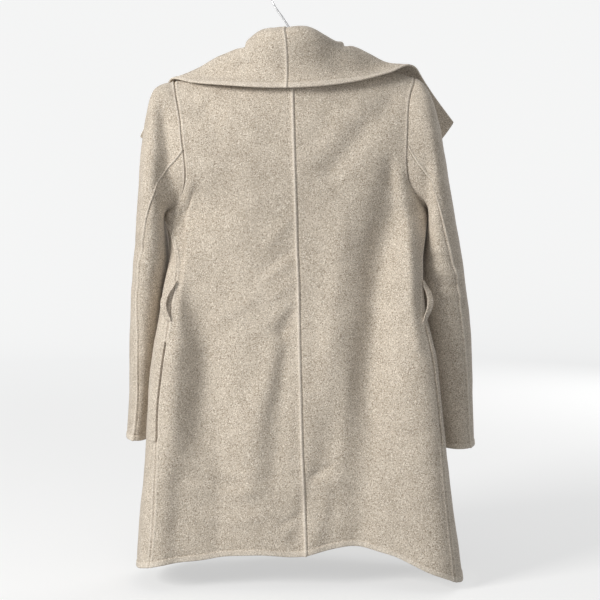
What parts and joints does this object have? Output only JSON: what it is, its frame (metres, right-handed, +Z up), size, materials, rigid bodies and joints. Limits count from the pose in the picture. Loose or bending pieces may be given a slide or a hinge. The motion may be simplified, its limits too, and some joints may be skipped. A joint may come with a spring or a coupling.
{
  "type": "wrap coat on a hanger",
  "caption": "Mid-thigh wool wrap coat with a wide shawl-like collar and pointed lapels, hanging open-necked on a plain wooden hanger.",
  "frame": {"origin": "inner crown of the hanger's hook, where a rod carries it", "axes": "+Z up along the coat's length, +Y towards the coat's back, +X towards the wearer's left"},
  "size_m": [0.5912, 0.2417, 0.9845],
  "materials": {
    "wool": "matte brushed oatmeal melange wool, double-faced",
    "hanger_wood": "satin lacquered wood",
    "hook_steel": "bright bent wire"
  },
  "bodies": {
    "root": {"back_left": "wool", "back_right": "wool", "front_left": "wool", "front_right": "wool", "sleeve_left_upper": "wool", "sleeve_left_under": "wool", "sleeve_right_upper": "wool", "sleeve_right_under": "wool", "collar_left": "wool", "collar_right": "wool", "belt_loop_left": "wool", "belt_loop_right": "wool", "pocket_lip_left": "wool", "pocket_lip_right": "wool", "hanger_body": "hanger_wood", "hanger_hook": "hook_steel"}
  },
  "joints": []
}
